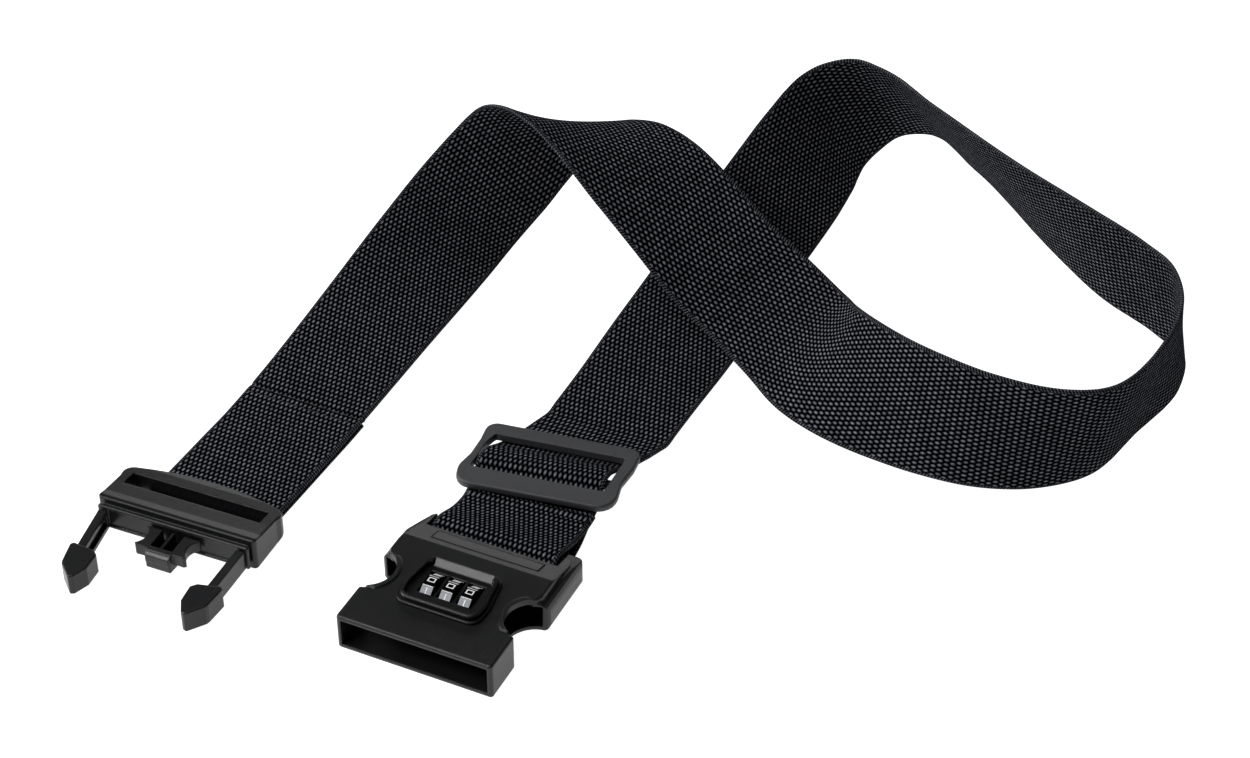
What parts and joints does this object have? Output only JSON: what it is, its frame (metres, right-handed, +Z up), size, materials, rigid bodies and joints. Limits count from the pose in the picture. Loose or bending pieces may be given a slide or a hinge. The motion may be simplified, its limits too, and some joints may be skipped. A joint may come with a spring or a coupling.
{
  "type": "luggage strap",
  "caption": "Webbing luggage strap with a side-release buckle, a combination lock in the socket half, and a sliding tri-glide adjuster.",
  "frame": {"origin": "on the ground, on the underside of the lock half's base cover, midway between its sides", "axes": "+X across the buckle halves, +Y from the buckle mouth towards the webbing, +Z up from the surface the strap lies on"},
  "size_m": [0.3344, 0.3907, 0.0586],
  "materials": {
    "black_plastic": "fine satin grain, moulded",
    "dark_plastic": "matt",
    "dial_metal": "plated, satin",
    "steel": "plain",
    "webbing": "coarse woven polypropylene webbing"
  },
  "bodies": {
    "strap": {"lock_shell": "black_plastic", "lock_bezel": "black_plastic", "lock_service_panel": "black_plastic", "lock_base_cover": "dark_plastic", "dial_axle": "steel", "dial_detent_spring": "steel", "bolt_spring": "steel", "plug_body": "black_plastic", "plug_tongue": "black_plastic", "webbing_plug_loop": "webbing", "webbing_plug_leg": "webbing", "webbing_rise": "webbing", "webbing_fold": "webbing", "webbing_slope": "webbing", "webbing_near_side": "webbing", "webbing_end_bend": "webbing", "webbing_far_side": "webbing", "webbing_far_bend": "webbing", "webbing_return": "webbing", "webbing_lock_loop": "webbing"},
    "dial_body_1": {"dial_1": "dial_metal", "dial_sleeve_1": "steel"},
    "dial_body_2": {"dial_2": "dial_metal", "dial_sleeve_2": "steel"},
    "dial_body_3": {"dial_3": "dial_metal", "dial_sleeve_3": "steel"},
    "lock_bolt_body": {"lock_bolt": "steel"},
    "reset_body": {"lock_reset_slider": "dark_plastic"},
    "arm_left_body": {"plug_arm_left": "black_plastic"},
    "arm_right_body": {"plug_arm_right": "black_plastic"},
    "adjuster_body": {"tri_glide": "black_plastic", "webbing_adjuster": "webbing"}
  },
  "joints": [
    {"name": "dial_1_spin", "type": "hinge", "parent": "strap", "child": "dial_body_1", "pos_m": [-0.0072, -0.0024, 0.0097], "axis": [1, 0, 0], "continuous": true},
    {"name": "dial_2_spin", "type": "hinge", "parent": "strap", "child": "dial_body_2", "pos_m": [0.0002, -0.0024, 0.0097], "axis": [1, 0, 0], "continuous": true},
    {"name": "dial_3_spin", "type": "hinge", "parent": "strap", "child": "dial_body_3", "pos_m": [0.0076, -0.0024, 0.0097], "axis": [1, 0, 0], "continuous": true},
    {"name": "lock_bolt_slide", "type": "slide", "parent": "strap", "child": "lock_bolt_body", "axis": [0, 1, 0], "range_m": [0, 0.0009], "stiffness_N_per_m": 400, "springref_m": -0.001, "deforming": ["bolt_spring"]},
    {"name": "reset_press", "type": "slide", "parent": "strap", "child": "reset_body", "axis": [0, 0, 1], "range_m": [0, 0.0009], "stiffness_N_per_m": 300, "springref_m": -0.001},
    {"name": "arm_left_flex", "type": "hinge", "parent": "strap", "child": "arm_left_body", "pos_m": [-0.13539, -0.01347, 0.0063], "axis": [0, 0, 1], "range_deg": [0, 5], "stiffness_Nm_per_rad": 1.2, "springref_deg": -0.57},
    {"name": "arm_right_flex", "type": "hinge", "parent": "strap", "child": "arm_right_body", "pos_m": [-0.07933, -0.01151, 0.0063], "axis": [0, 0, -1], "range_deg": [0, 8], "stiffness_Nm_per_rad": 1.2, "springref_deg": -0.57},
    {"name": "adjuster_slide", "type": "slide", "parent": "strap", "child": "adjuster_body", "axis": [0, 1, 0], "range_m": [0, 0.01], "deforming": ["webbing_adjuster"]}
  ]
}
